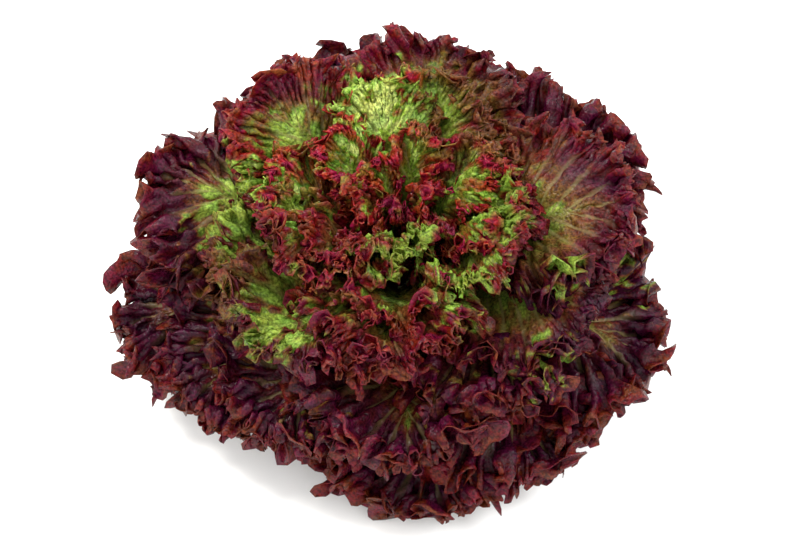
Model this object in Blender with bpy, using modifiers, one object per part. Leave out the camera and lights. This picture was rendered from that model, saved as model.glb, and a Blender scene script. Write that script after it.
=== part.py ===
"""Lollo rosso lettuce: a cut head of frilled leaves on a short stem, with a small heart on top.

Every leaf is a thin blade on its own shell round the head's axis. The shells nest, the oldest
leaf's lowest and the youngest leaf's steepest, so no blade crosses another. The frills are meander
waves that grow from the middle of the blade to its margin.
Metres, +Z up. The origin is the middle of the stem's cut face, on the surface it stands on.
Azimuth 0 is +X, and the side nearest the viewer is -Y.
"""

import math

import bmesh
import bpy
import numpy as np

# The head: leaves in the order they grew, a golden angle apart, each nudged to where it lies
HEAD_LEAVES = 22
HEART_LEAVES = 5
GOLDEN_ANGLE = math.radians(137.508)
FIRST_AZIMUTH = math.radians(-81.0)
AZIMUTH_NUDGE = {1: -4, 3: 3, 5: -6, 7: 7, 8: 5, 11: 6, 12: 10, 14: 1, 15: -6, 20: -8}
LENGTH_NUDGE = {0: 0.95, 2: 1.09, 3: 1.08, 5: 0.97, 6: 1.09, 7: 1.08, 8: 0.98, 10: 0.90}
LENGTH_NUDGE |= {11: 1.10, 14: 0.86, 15: 0.88}

# Cut stem: a blunt cone with the leaf bases seated up its side
STEM_HEIGHT = 0.041
STEM_FOOT_RADIUS = 0.0165
STEM_TOP_RADIUS = 0.0072
CUT_EDGE = 0.0012
STEM_SIDES = 24
ROOT_LOW = 0.0085
ROOT_HIGH = 0.0375
ROOT_GAP = 0.0014

# Heart: a bud on top of the stem, with small leaves sunk into it
SEAT_GAP = 0.0003
BUD_RADIUS = 0.0070
BUD_FOOT_RADIUS = 0.0062
BUD_WAIST = 0.0045
BUD_TIP = 0.0175
BUD_ARC_STEPS = 4
BUD_SIDES = 12
HEART_AGE_STEP = 0.06
HEART_ROOT_LOW = 0.0445
HEART_ROOT_HIGH = 0.0500
HEART_ROOT_OUT = 0.0058
HEART_ROOT_IN = 0.0024
HEART_FRILL_WAVES = 6

# A blade rises at its lean, bends outwards a little up to its knee and much more beyond it
LEAN_OLD = math.radians(21.0)
LEAN_YOUNG = math.radians(74.0)
LEAN_EASE = 1.1
HEART_LEAN = math.radians(20.0)
RISE = math.radians(11.0)
KNEE_AT = 0.55
RECURVE_OLD = math.radians(36.0)
RECURVE_YOUNG = math.radians(20.0)
FAR_SIDE_LIFT = math.radians(11.0)

# Length and half width of the blades
LENGTH_OLD = 0.132
LENGTH_MIDDLE = 0.126
LENGTH_YOUNG = 0.086
MIDDLE_AGE = 0.55
WIDEST = 0.066
WIDEST_ANGLE = math.radians(39.0)
HEART_WIDEST_ANGLE = math.radians(40.0)
ROOT_HALF_WIDTH = 0.0085
FAN_TOP = 0.80
WIDEST_AT = 0.70
SPINE_SHARE = 0.80
OUTLINE_SHARES = np.sin(np.linspace(0.0, math.pi / 2.0, 160))

# Frills: waves along the margin, and slow folds that neighbouring blades share
FRILL_WAVES = 14
FRILL_START = 0.30
FRILL_SWING = 1.15
LOBE_SHARE = 0.035
FOLDS_ROUND = 9
FOLD_HEIGHT = 0.0045
FOLD_FROM_TO = (0.030, 0.100)

# Blade thickness at the margin and at the midrib, and the rows of the sheet from midrib to margin
BLADE_THICKNESS = 0.0008
RIB_THICKNESS = 0.0021
HEART_RIB_THICKNESS = 0.0010
SHEET_ROWS = (0.0, 0.42, 0.72, 1.0)

HEART_GREEN = (0.17, 0.25, 0.04)
LEAF_RED = (0.13, 0.012, 0.03)
STEM_CREAM = (0.72, 0.74, 0.50)


def smooth(value, low, high):
    """Rises smoothly from 0 at low to 1 at high."""
    x = np.clip((value - low) / (high - low), 0.0, 1.0)
    return x * x * (3.0 - 2.0 * x)


def mix(first, last, share):
    return first + (last - first) * share


def stem_radius(height):
    return mix(STEM_FOOT_RADIUS, STEM_TOP_RADIUS, height / STEM_HEIGHT)


def blade_length(age):
    """Length by age: the head's outer leaves are about as long as each other, the inner ones shorten."""
    old = mix(LENGTH_OLD, LENGTH_MIDDLE, age / MIDDLE_AGE)
    young = mix(LENGTH_MIDDLE, LENGTH_YOUNG, (age - MIDDLE_AGE) / (1.0 - MIDDLE_AGE))
    return old if age < MIDDLE_AGE else young


def arc(start, turn, along):
    """(outwards, upwards) travelled along an arc that sets off at angle start and turns down steadily."""
    angle = start - turn * along
    return (np.sin(start) - np.sin(angle)) / turn, (np.cos(angle) - np.cos(start)) / turn


def root_of(age):
    """(radius, height) where the leaf of that age sets off: on the stem, or in the bud from age 1 up."""
    if age <= 1.0:
        height = mix(ROOT_LOW, ROOT_HIGH, age)
        return stem_radius(height) + ROOT_GAP, height
    up = (age - 1.0) / (HEART_LEAVES * HEART_AGE_STEP)
    return mix(HEART_ROOT_OUT, HEART_ROOT_IN, up), mix(HEART_ROOT_LOW, HEART_ROOT_HIGH, up)


def shell_point(age, azimuth, along, off):
    """A point on the shell of that age: along its two arcs from the stem, then off it along its normal."""
    root_radius, root_height = root_of(age)
    reach = blade_length(age)
    knee = KNEE_AT * reach
    lift = FAR_SIDE_LIFT * max(0.0, 1.0 - age) * np.sin(azimuth)
    steeper = HEART_LEAN * max(0.0, age - 1.0)
    start = mix(LEAN_OLD, LEAN_YOUNG, min(age, 1.0) ** LEAN_EASE) + steeper + RISE + lift
    slow_turn = 1.4 * RISE / knee
    quick_turn = mix(RECURVE_OLD, RECURVE_YOUNG, age) / (reach - knee)
    low_out, low_up = arc(start, slow_turn, np.minimum(along, knee))
    bend = start - slow_turn * knee
    beyond = np.maximum(along - knee, 0.0)
    high_out, high_up = arc(bend, quick_turn, beyond)
    angle = start - slow_turn * np.minimum(along, knee) - quick_turn * beyond
    radius = root_radius + low_out + high_out - off * np.sin(angle)
    height = root_height + low_up + high_up + off * np.cos(angle)
    return np.stack([radius * np.cos(azimuth), radius * np.sin(azimuth), height], axis=-1)


def outline(length, widest, widest_angle, radius):
    """Half of a leaf's outline as (x, y) against the share of the way from the root to the tip."""
    y = length * OUTLINE_SHARES
    fan = np.sin(0.5 * math.pi * np.minimum(OUTLINE_SHARES / FAN_TOP, 1.0))
    above = np.clip((OUTLINE_SHARES - WIDEST_AT) / (1.0 - WIDEST_AT), 0.0, 1.0)
    half_width = np.minimum(widest, widest_angle * radius)
    root_width = np.minimum(ROOT_HALF_WIDTH, half_width)
    x = mix(root_width, half_width, fan) * np.sqrt(1.0 - above**2)
    way = np.concatenate([[0.0], np.cumsum(np.hypot(np.diff(x), np.diff(y)))])
    return way / way[-1], x, y


def meander(phase, swing):
    """(along, across) of a wave whose direction swings by that angle, in wavelengths over 2 pi."""
    s2 = swing * swing
    j0 = 1.0 - s2 / 4.0 + s2 * s2 / 64.0 - s2**3 / 2304.0
    j1 = swing * (0.5 - s2 / 16.0 + s2 * s2 / 384.0)
    j2 = s2 * (0.125 - s2 / 96.0 + s2 * s2 / 3072.0)
    return j2 / j0 * np.sin(2.0 * phase), -2.0 * j1 / j0 * np.cos(phase)


class Leaf:
    """One leaf: its shell, its place round the stem, its outline and its frills."""

    def __init__(self, number, age, waves, rng):
        nudge = AZIMUTH_NUDGE.get(number, 0.0) + rng.uniform(-2.0, 2.0)
        self.age = age
        self.azimuth = FIRST_AZIMUTH + number * GOLDEN_ANGLE + math.radians(nudge)
        self.length = blade_length(age) * LENGTH_NUDGE.get(number, 1.0)
        midrib = shell_point(age, self.azimuth, self.length * OUTLINE_SHARES, 0.0)
        radius = np.hypot(midrib[:, 0], midrib[:, 1])
        widest_angle = WIDEST_ANGLE if age <= 1.0 else HEART_WIDEST_ANGLE
        self.way, self.x, self.y = outline(self.length, WIDEST, widest_angle, radius)
        self.rib_thickness = RIB_THICKNESS if age <= 1.0 else HEART_RIB_THICKNESS
        self.waves = waves

    def flat(self, s, t):
        """Flattened place (x across, y along) of vein s, 0 to 1 round the margin, at share t of its way."""
        rise = np.clip(1.0 - np.abs(2.0 * s - 1.0), 0.0, 1.0)
        x_margin = np.where(s < 0.5, -1.0, 1.0) * np.interp(rise, self.way, self.x)
        y_margin = np.interp(rise, self.way, self.y)
        return x_margin * t, mix(SPINE_SHARE * self.length * rise**1.15, y_margin, t)

    def smooth_point(self, s, t):
        """The blade before its frills."""
        rise = 1.0 - np.abs(2.0 * s - 1.0)
        lobes = LOBE_SHARE * smooth(t, 0.7, 1.0) * smooth(rise, 0.1, 0.3)
        x, y = self.flat(s, t * (1.0 + lobes * np.cos(4.0 * math.pi * self.waves * s)))
        middle = shell_point(self.age, self.azimuth, y, 0.0)
        azimuth = self.azimuth + x / np.hypot(middle[..., 0], middle[..., 1])
        fold = FOLD_HEIGHT * np.sin(FOLDS_ROUND * azimuth) * smooth(y, *FOLD_FROM_TO)
        return shell_point(self.age, azimuth, y, fold)

    def point(self, s, t):
        """The blade with its frills."""
        step = 1e-3
        along = (self.smooth_point(s + step, t) - self.smooth_point(s - step, t)) / (2.0 * step)
        out = self.smooth_point(s, t + step) - self.smooth_point(s, t - step)
        across = np.cross(along, out)
        across = across / np.maximum(np.linalg.norm(across, axis=-1, keepdims=True), 1e-12)
        length = np.maximum(np.linalg.norm(along, axis=-1, keepdims=True), 1e-12)
        rise = 1.0 - np.abs(2.0 * s - 1.0)
        swing = FRILL_SWING * smooth(t, FRILL_START, 0.95) * smooth(rise, 0.10, 0.45)
        shift, wave = meander(2.0 * math.pi * (self.waves * s + 0.125), swing)
        size = length / (2.0 * math.pi * self.waves)
        frill = along / length * shift[..., None] + across * wave[..., None]
        return self.smooth_point(s, t) + size * frill


def blade_sheet(waves):
    """A flat sheet in (s, t) whose columns double twice on the way to the margin."""
    bands = len(SHEET_ROWS) - 1
    bm = bmesh.new()
    bm.verts.layers.float.new("rib")
    bmesh.ops.create_grid(bm, x_segments=waves, y_segments=bands, size=0.5)
    for vert in bm.verts:
        vert.co = (vert.co.x + 0.5, SHEET_ROWS[round((vert.co.y + 0.5) * bands)], 0.0)
    for start in SHEET_ROWS[1:3]:
        rows = [edge for edge in bm.edges if edge.verts[0].co.y == edge.verts[1].co.y]
        outer = [edge for edge in rows if edge.verts[0].co.y > start - 1e-4]
        bmesh.ops.subdivide_edges(bm, edges=outer, cuts=1)
    bmesh.ops.triangulate(bm, faces=bm.faces[:])
    return bm


def leaf_object(name, leaf, material, collection):
    """The leaf's sheet bent to its place, welded along the midrib and given its thickness."""
    bm = blade_sheet(leaf.waves)
    verts = list(bm.verts)
    s = np.array([vert.co.x for vert in verts])
    t = np.array([vert.co.y for vert in verts])
    for vert, place in zip(verts, leaf.point(s, t)):
        vert.co = place
    rib = bm.verts.layers.float["rib"]
    for vert, share in zip(verts, 1.0 - smooth(t, 0.0, SHEET_ROWS[1])):
        vert[rib] = share
    midrib = [vert for vert, way in zip(verts, t) if way < 1e-4]
    bmesh.ops.remove_doubles(bm, verts=midrib, dist=1e-5)
    bmesh.ops.recalc_face_normals(bm, faces=bm.faces[:])
    rib_shares = [vert[rib] for vert in bm.verts]
    mesh = bpy.data.meshes.new(name)
    bm.to_mesh(mesh)
    bm.free()
    obj = bpy.data.objects.new(name, mesh)
    collection.objects.link(obj)
    mesh.materials.append(material)
    group = obj.vertex_groups.new(name="rib")
    for index, share in enumerate(rib_shares):
        group.add([index], share, "REPLACE")
    blade = obj.modifiers.new("thickness", "SOLIDIFY")
    blade.thickness = leaf.rib_thickness
    blade.vertex_group = group.name
    blade.thickness_vertex_group = BLADE_THICKNESS / leaf.rib_thickness
    blade.offset = 0.0
    return obj


def material(name, colour, roughness):
    made = bpy.data.materials.new(name)
    made.use_nodes = True
    shader = made.node_tree.nodes["Principled BSDF"]
    shader.inputs["Base Color"].default_value = (*colour, 1.0)
    shader.inputs["Roughness"].default_value = roughness
    made.diffuse_color = (*colour, 1.0)
    return made


def clear_scene():
    for obj in list(bpy.data.objects):
        bpy.data.objects.remove(obj, do_unlink=True)


def turned(name, profile, sides, material, collection):
    """A solid of revolution about the Z axis, from its (radius, height) profile from top to bottom."""
    mesh = bpy.data.meshes.new(name)
    points = [(radius, 0.0, height) for radius, height in profile]
    mesh.from_pydata(points, [(i, i + 1) for i in range(len(points) - 1)], [])
    obj = bpy.data.objects.new(name, mesh)
    collection.objects.link(obj)
    mesh.materials.append(material)
    turn = obj.modifiers.new("turn", "SCREW")
    turn.axis = "Z"
    turn.steps = sides
    turn.render_steps = sides
    turn.use_merge_vertices = True
    turn.merge_threshold = 1e-5
    return obj


def stem_object(material, collection):
    """The stem, cut flat below and with a small blunt edge at both ends."""
    profile = [
        (0.0, STEM_HEIGHT),
        (STEM_TOP_RADIUS - CUT_EDGE, STEM_HEIGHT),
        (stem_radius(STEM_HEIGHT - CUT_EDGE), STEM_HEIGHT - CUT_EDGE),
        (stem_radius(CUT_EDGE), CUT_EDGE),
        (STEM_FOOT_RADIUS - CUT_EDGE, 0.0),
        (0.0, 0.0),
    ]
    return turned("stem", profile, STEM_SIDES, material, collection)


def heart_object(rng, material, collection):
    """The bud and its small leaves, joined into one solid."""
    foot = STEM_HEIGHT + SEAT_GAP
    profile = [(0.0, foot + BUD_TIP)]
    for step in range(1, BUD_ARC_STEPS + 1):
        angle = math.pi / 2.0 * step / BUD_ARC_STEPS
        rise = (BUD_TIP - BUD_WAIST) * math.cos(angle)
        profile.append((BUD_RADIUS * math.sin(angle), foot + BUD_WAIST + rise))
    profile += [(BUD_FOOT_RADIUS, foot), (0.0, foot)]
    heart = turned("heart", profile, BUD_SIDES, material, collection)
    small = bpy.data.collections.new("heart_leaves")
    bpy.context.scene.collection.children.link(small)
    for number in range(1, HEART_LEAVES + 1):
        age = 1.0 + HEART_AGE_STEP * number
        leaf = Leaf(HEAD_LEAVES - 1 + number, age, HEART_FRILL_WAVES, rng)
        leaf_object(f"heart_leaf_{number}", leaf, material, small)
    join = heart.modifiers.new("join", "BOOLEAN")
    join.operation = "UNION"
    join.operand_type = "COLLECTION"
    join.collection = small
    join.solver = "MANIFOLD"
    bpy.context.view_layer.update()
    joined = bpy.data.meshes.new_from_object(heart.evaluated_get(bpy.context.evaluated_depsgraph_get()))
    heart.modifiers.clear()
    heart.data = joined
    for obj in list(small.objects):
        bpy.data.objects.remove(obj, do_unlink=True)
    bpy.data.collections.remove(small)


def main():
    clear_scene()
    head = bpy.data.collections.new("lollo_rosso_lettuce")
    bpy.context.scene.collection.children.link(head)
    rng = np.random.default_rng(7)
    stem_object(material("stem_flesh", STEM_CREAM, 0.5), head)
    red = material("red_leaf", LEAF_RED, 0.42)
    for number in range(HEAD_LEAVES):
        leaf = Leaf(number, number / (HEAD_LEAVES - 1), FRILL_WAVES, rng)
        leaf_object(f"leaf_{number + 1:02d}", leaf, red, head)
    heart_object(rng, material("heart_leaf", HEART_GREEN, 0.42), head)


main()
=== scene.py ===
"""Looks of a lollo rosso lettuce, built round its frame.

A cut head of thin, glossy leaves. Every blade is first a flat sheet whose columns are its veins, s round the
margin from 0 at one side of the root to 1 at the other, and t from 0 at the midrib to 1 at the margin. It is
bent onto the same shell as its solid, and its margin is then ruffled three times over, each time finer.
Twelve more leaves of the same kind fill the gaps between the solids' ones. Colour follows the blade: pale
midrib, green and olive flesh, crimson to maroon frills, and green patches towards the middle of the head.
Painted light and shade are laid over it: the near side is darker as painted shade, the blisters are painted
lighter on their crowns and darker in their hollows, and the paler rims are partly painted highlight.
Metres, +Z up. Azimuth 0 is +X, and the camera looks from -Y.
"""

import math

import bpy
import numpy as np
from bpy.props import FloatProperty, FloatVectorProperty, PointerProperty
from bpy.types import Operator, Panel, PropertyGroup
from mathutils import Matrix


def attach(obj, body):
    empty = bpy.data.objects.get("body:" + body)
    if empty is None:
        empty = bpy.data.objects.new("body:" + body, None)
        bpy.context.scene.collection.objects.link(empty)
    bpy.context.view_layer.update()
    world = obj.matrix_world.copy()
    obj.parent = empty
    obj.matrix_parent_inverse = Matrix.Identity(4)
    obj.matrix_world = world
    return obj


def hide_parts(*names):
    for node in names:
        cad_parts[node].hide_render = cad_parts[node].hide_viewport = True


bl_info = {
    "name": "Lollo rosso lettuce",
    "version": (1, 0, 0),
    "blender": (4, 5, 0),
    "location": "View3D > Sidebar > Lettuce",
    "description": "Models the leaves, heart, stem and stage of a cut head of frilled red lettuce",
    "category": "Add Mesh",
}

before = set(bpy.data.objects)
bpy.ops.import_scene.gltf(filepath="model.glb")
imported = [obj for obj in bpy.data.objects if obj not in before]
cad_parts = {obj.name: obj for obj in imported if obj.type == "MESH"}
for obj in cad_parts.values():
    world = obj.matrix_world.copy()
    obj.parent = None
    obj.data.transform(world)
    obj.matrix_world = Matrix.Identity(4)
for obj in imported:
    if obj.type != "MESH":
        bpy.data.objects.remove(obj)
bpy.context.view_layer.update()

# The head, as in the solids: leaves in the order they grew, a golden angle apart. Nudges are in degrees
HEAD_LEAVES = 22
HEART_LEAVES = 5
GOLDEN_ANGLE = math.radians(137.508)
FIRST_AZIMUTH = math.radians(-81.0)
LARGEST_TURN = 2.0
AZIMUTH_NUDGE = {1: -4, 3: 3, 5: -6, 7: 7, 8: 5, 11: 6, 12: 10, 14: 1, 15: -6, 20: -8}
LENGTH_NUDGE = {0: 0.95, 2: 1.09, 3: 1.08, 5: 0.97, 6: 1.09, 7: 1.08, 8: 0.98, 10: 0.90}
LENGTH_NUDGE |= {11: 1.10, 14: 0.86, 15: 0.88}

# Leaves between the solids' ones, by their place in the same order of growth, on the other side of the stem
BETWEEN = (1.5, 3.5, 6.5, 8.5, 9.5, 11.5, 12.5, 14.5, 15.5, 16.5, 17.5, 19.5)
BETWEEN_TURN = 180.0
BETWEEN_NUDGE = {8.5: -8, 12.5: -20, 14.5: -25, 16.5: 8}
LENGTH_NUDGE |= {8.5: 0.74, 12.5: 0.76, 14.5: 0.92, 16.5: 1.05}

# Leaves whose ruffles start further out than on the others, so that the blade lies open, or further in where
# the number is below 0, as a share of the way from midrib to margin
OPEN_BLADES = {7: -0.08, 8.5: -0.10, 9: 0.26, 9.5: 0.28, 10: 0.10, 11: 0.30, 11.5: 0.28, 12: -0.08}
OPEN_BLADES |= {12.5: 0.05, 14: 0.14, 15.5: 0.24}

# Leaves whose widest waves are lower, so that no lobe stands out alone
CALMER = {1: 0.6, 3.5: 0.5, 5: 0.6, 9.5: 0.6}

# Random draws. A few leaves have one of their own, because the plain one gives a lobe that is too large
NUDGE_SEED = 7
PATCH_SEED = 5
HEAD_SEED = 100
HEART_SEED = 200
BETWEEN_SEED = 300
SEEDS = {1: 141, 3.5: 171, 5: 152}

# Cut stem, with the scars of the leaves that were trimmed off
STEM_HEIGHT = 0.041
STEM_FOOT_RADIUS = 0.0165
STEM_TOP_RADIUS = 0.0072
STEM_SIDES = 96
STEM_RINGS = 17
RING_MARGIN = 0.003
CUT_EDGE = 0.0012
SCARS_ROUND = 5.0
SCAR_RISE = 700.0
SCAR_DEPTH = 0.05
SCAR_FOOT = (0.002, 0.006)
SCAR_TOP = (0.033, 0.040)
STEM_CREASE = math.radians(40.0)
ROOT_LOW = 0.0085
ROOT_HIGH = 0.0375
ROOT_GAP = 0.0014

# Heart: a bud with small leaves. Age is 0 for the outermost leaf and 1 for the innermost large one, and goes
# on from there in steps
BUD_RADIUS = 0.0070
BUD_BOTTOM = 0.0413
BUD_TOP = 0.0588
BUD_SEGMENTS = 48
BUD_RINGS = 24
WRAP_EDGE = 0.06
WRAP_TURNS = 1.5
WRAP_RISE = 2.0
HEART_AGE_STEP = 0.06
HEART_ROOT_LOW = 0.0445
HEART_ROOT_HIGH = 0.0500
HEART_ROOT_OUT = 0.0058
HEART_ROOT_IN = 0.0024
HEART_FRILL_WAVES = 6
HEART_RIB_THICKNESS = 0.001

# A blade rises at its lean, bends outwards a little up to its knee and much more beyond it
LEAN_OLD = math.radians(21.0)
LEAN_YOUNG = math.radians(74.0)
LEAN_EASE = 1.1
HEART_LEAN = math.radians(20.0)
RISE = math.radians(11.0)
LOW_BEND = 1.4
KNEE_AT = 0.55
RECURVE_OLD = math.radians(36.0)
RECURVE_YOUNG = math.radians(20.0)
FAR_SIDE_LIFT = math.radians(11.0)

# Length and half width of the blades
LENGTH_OLD = 0.132
LENGTH_MIDDLE = 0.126
LENGTH_YOUNG = 0.086
MIDDLE_AGE = 0.55
WIDEST = 0.066
WIDEST_ANGLE = math.radians(39.0)
HEART_WIDEST_ANGLE = math.radians(40.0)
ROOT_HALF_WIDTH = 0.0085
FAN_TOP = 0.80
WIDEST_AT = 0.70
SPINE_SHARE = 0.80
SPINE_EASE = 1.15
OUTLINE_SHARES = np.sin(np.linspace(0.0, math.pi / 2.0, 160))

# Frills: the waves that the solids have, then two finer sets laid over them. A swing is how far the margin
# turns off its way, in radians
FRILL_WAVES = 14
FRILL_PHASE = 0.125
LOBE_SHARE = 0.035
LOBES_PER_FRILL = 2
OLD_RUFFLES_PER_FRILL = 3
YOUNG_RUFFLES_PER_FRILL = 6
YOUNG_FROM = 0.45
OLD_CURLS_PER_RUFFLE = 3
YOUNG_CURLS_PER_RUFFLE = 2
TEETH_PER_CURL = 2
STEEPEST_SWING = 1.75
YOUNG_CALM = 0.8
UNEVEN_SWING = 0.22
UNEVEN_ROUND = 0.3
UNEVEN_ACROSS = 0.6
LEAST_SWING = 0.75
WAVE_SPREAD = (0.7, 1.6)
YOUNG_SHIFT = 0.06
SHIFT_AGES = (0.35, 0.7)
ROLL_FROM = 0.76
YOUNG_ROLL = 0.5
WIDEST_ROLL = 1.3
FLATTEST_ROLL = 1e-3

# How far waves drift along the margin, in turns, and lean from midrib to margin
RUFFLE_DRIFT = 0.3
RUFFLE_LEAN = 0.7
CURL_DRIFT = 0.25
CURL_LEAN = 0.35

# Folds, quilting between the veins and puckers over the whole blade
FOLDS_ROUND = 9
FOLD_HEIGHT = 0.0045
FOLD_FROM_TO = (0.030, 0.100)
VEINS_PER_FRILL = 2
QUILT_ROWS = 5.5
QUILT_DRIFT = 0.5
QUILT_DEPTH = 0.35
PUCKERS_ROUND = 55.0
PUCKERS_ACROSS = (2.0, 6.0)

# Where each form sets in and where it is full, as a share of the way from midrib to margin, and as a share of
# the way from the root round to the tip
LOBES_OUT = (0.7, 1.0)
QUILT_OUT = (0.05, 0.25)
PUCKERS_OUT = (0.06, 0.30)
COARSE_OUT = (0.18, 0.85)
MIDDLE_OUT = (0.12, 0.58)
FINE_OUT = (0.45, 0.90)
PLAIN_ROUND = (0.06, 0.30)
PUCKERS_FROM_ROOT = (0.05, 0.30)
COARSE_FROM_ROOT = (0.10, 0.45)
MIDDLE_FROM_ROOT = (0.04, 0.25)
FINE_FROM_ROOT = (0.02, 0.15)

# Blades that would hang through the surface lie on it limply instead
LIMP_BELOW = 0.0045
FLOOR_GAP = 0.0007

# Rows of a sheet from midrib to margin, in bands: each band has twice the columns of the one before
SHEET_BANDS = (
    (0.0, 0.10),
    (0.20, 0.30, 0.40),
    (0.49, 0.57, 0.65, 0.73),
    (0.80, 0.87, 0.94, 1.0),
)
SHEET_ROWS = np.array([row for band in SHEET_BANDS for row in band])
SHEET_COLUMNS = 120
HEART_SHEET_COLUMNS = 60
SAME_ROW = 1e-5
WELD = 1e-5
SHORTEST = 1e-12
RIB_UP_TO = 0.42

# Green of the whole blade by age, and how young it looks: less far out in the head, and less on the near
# side, where the darker colour is painted shade
OLD_GREEN = -0.02
YOUNG_GREEN = 0.15
YOUTH_AGES = (0.15, 0.75)
NEAR_SIDE_YOUTH_IN_PAINTED_SHADE = 0.5
NEAR_TO_FAR_SIDE = (-0.9, 0.2)
OUTER_LOSS = 0.6
OUTER_FROM_TO = (0.070, 0.110)

# Where green shows between the red frills: the middle and the radius of each patch, and how strong it is
GREEN_PATCHES = (
    ((-0.010, 0.052, 0.112), 0.031, 1.40),
    ((0.030, 0.058, 0.110), 0.050, 0.62),
    ((0.052, 0.030, 0.112), 0.036, 0.50),
    ((-0.080, -0.002, 0.094), 0.030, 1.30),
    ((-0.066, -0.030, 0.096), 0.020, 0.90),
    ((-0.082, -0.046, 0.090), 0.048, 0.78),
    ((-0.060, -0.076, 0.098), 0.030, 1.15),
    ((0.006, -0.042, 0.112), 0.028, 1.00),
    ((0.036, -0.062, 0.108), 0.028, 1.10),
    ((0.052, -0.018, 0.113), 0.024, 1.00),
    ((0.072, -0.050, 0.088), 0.050, 0.36),
    ((-0.060, 0.034, 0.098), 0.022, 0.65),
    ((-0.050, -0.004, 0.106), 0.022, 0.75),
    ((-0.020, 0.010, 0.116), 0.018, 0.60),
    ((0.018, 0.020, 0.118), 0.018, 0.60),
    ((0.082, -0.053, 0.117), 0.016, 1.40),
    ((-0.030, -0.060, 0.100), 0.020, 0.60),
    ((0.071, -0.087, 0.084), 0.012, 1.10),
    ((0.117, -0.015, 0.062), 0.014, 1.20),
    ((0.020, -0.100, 0.074), 0.010, 0.60),
    ((-0.040, -0.104, 0.076), 0.010, 0.70),
)

# Where broad blades are as brown as the outer leaves: the middle and the radius of each patch, and how brown
BROWN_PATCHES = (
    ((0.040, 0.048, 0.110), 0.050, 0.7),
    ((-0.082, -0.046, 0.090), 0.050, 0.9),
    ((0.075, -0.052, 0.088), 0.052, 1.0),
    ((-0.050, 0.062, 0.100), 0.042, 0.6),
    ((0.088, 0.004, 0.092), 0.044, 0.8),
    ((-0.104, -0.006, 0.080), 0.034, 0.6),
)

# Colours from midrib to margin, as stops of two ramps: outer leaves turn from olive brown to maroon, inner
# ones from leaf green to crimson
RAMP_MIDRIB = 0.4
OLD_FLESH = (
    (0.0, "#94b04e"),
    (0.25, "#6d8236"),
    (0.42, "#6e582e"),
    (0.50, "#683a26"),
    (0.60, "#42151d"),
    (0.75, "#340d20"),
    (0.90, "#431020"),
    (1.0, "#66211a"),
)
YOUNG_FLESH = (
    (0.0, "#c6d97c"),
    (0.20, "#98b84a"),
    (0.38, "#64842f"),
    (0.50, "#82702e"),
    (0.62, "#8c5030"),
    (0.76, "#8e2e27"),
    (0.90, "#8f242c"),
    (1.0, "#ab5038"),
)
# Paler rims of the margin, partly their own colour and partly painted highlight: pink or red brown, and
# yellow green in the green patches
OLD_RIM_AND_HIGHLIGHT = ((0.0, "#6c2b3a"), (1.0, "#7e3c26"))
YOUNG_RIM_AND_HIGHLIGHT = ((0.0, "#b0484a"), (1.0, "#c4c468"))
VEIN_TONE = "#9a8f58"
WARMED_LIGHT = "#ffa880"
PITH = ((0.0, "#b98a5c"), (0.5, "#d9cf9f"), (1.0, "#c9d28f"))

# How far blotches and mottling push those colours along the blade
BLOTCH_PUSH = 0.34
MOTTLE_PUSH = 0.44

# A patch fades out over this share of its radius, and waves of a few centimetres make its edge ragged
PATCH_FADE = 0.7
RAGGED_WAVES = 8
RAGGED_HEIGHT = 0.0045
RAGGED_FREQUENCY = 420.0
RAGGED_LARGEST_PHASE = 6.3

# Studio: two soft lamps, an even surround and the point that the camera looks at
KEY_PLACE = (-0.65, 0.20, 1.05)
KEY_SIZE = 0.28
KEY_COLOUR = (1.0, 0.98, 0.95)
FILL_PLACE = (0.75, -0.10, 0.95)
FILL_SIZE = 0.40
FILL_COLOUR = (0.96, 0.98, 1.0)
LAMPS_AIM = (0.0, 0.0, 0.06)
SURROUND_COLOUR = (1.0, 1.0, 1.0, 1.0)
SURROUND_STRENGTH = 1.8
CAMERA_AIM = (0.002, -0.016, 0.053)
FLOOR_SIZE = 8.0
FLOOR_ROUGHNESS = 0.9


def linear(code):
    """An sRGB hex colour as linear RGB."""
    shares = [int(code[i : i + 2], 16) / 255.0 for i in (1, 3, 5)]
    return tuple(c / 12.92 if c <= 0.04045 else ((c + 0.055) / 1.055) ** 2.4 for c in shares)


def smooth(value, low, high):
    """Rises smoothly from 0 at low to 1 at high."""
    x = np.clip((value - low) / (high - low), 0.0, 1.0)
    return x * x * (3.0 - 2.0 * x)


def mix(first, last, share):
    """The value that far on from the first to the last."""
    return first + (last - first) * share


def stem_radius(height):
    return mix(STEM_FOOT_RADIUS, STEM_TOP_RADIUS, height / STEM_HEIGHT)


def blade_length(age):
    """Length by age: the outer leaves are about as long as each other, the inner ones shorten."""
    old = mix(LENGTH_OLD, LENGTH_MIDDLE, age / MIDDLE_AGE)
    young = mix(LENGTH_MIDDLE, LENGTH_YOUNG, (age - MIDDLE_AGE) / (1.0 - MIDDLE_AGE))
    return old if age < MIDDLE_AGE else young


def arc(start, turn, along):
    """(outwards, upwards) travelled along an arc that sets off at angle start and turns down steadily."""
    angle = start - turn * along
    return (np.sin(start) - np.sin(angle)) / turn, (np.cos(angle) - np.cos(start)) / turn


def root_of(age):
    """(radius, height) where the leaf of that age sets off: on the stem, or in the bud from age 1 up."""
    if age <= 1.0:
        height = mix(ROOT_LOW, ROOT_HIGH, age)
        return stem_radius(height) + ROOT_GAP, height
    up = (age - 1.0) / (HEART_LEAVES * HEART_AGE_STEP)
    return mix(HEART_ROOT_OUT, HEART_ROOT_IN, up), mix(HEART_ROOT_LOW, HEART_ROOT_HIGH, up)


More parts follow.
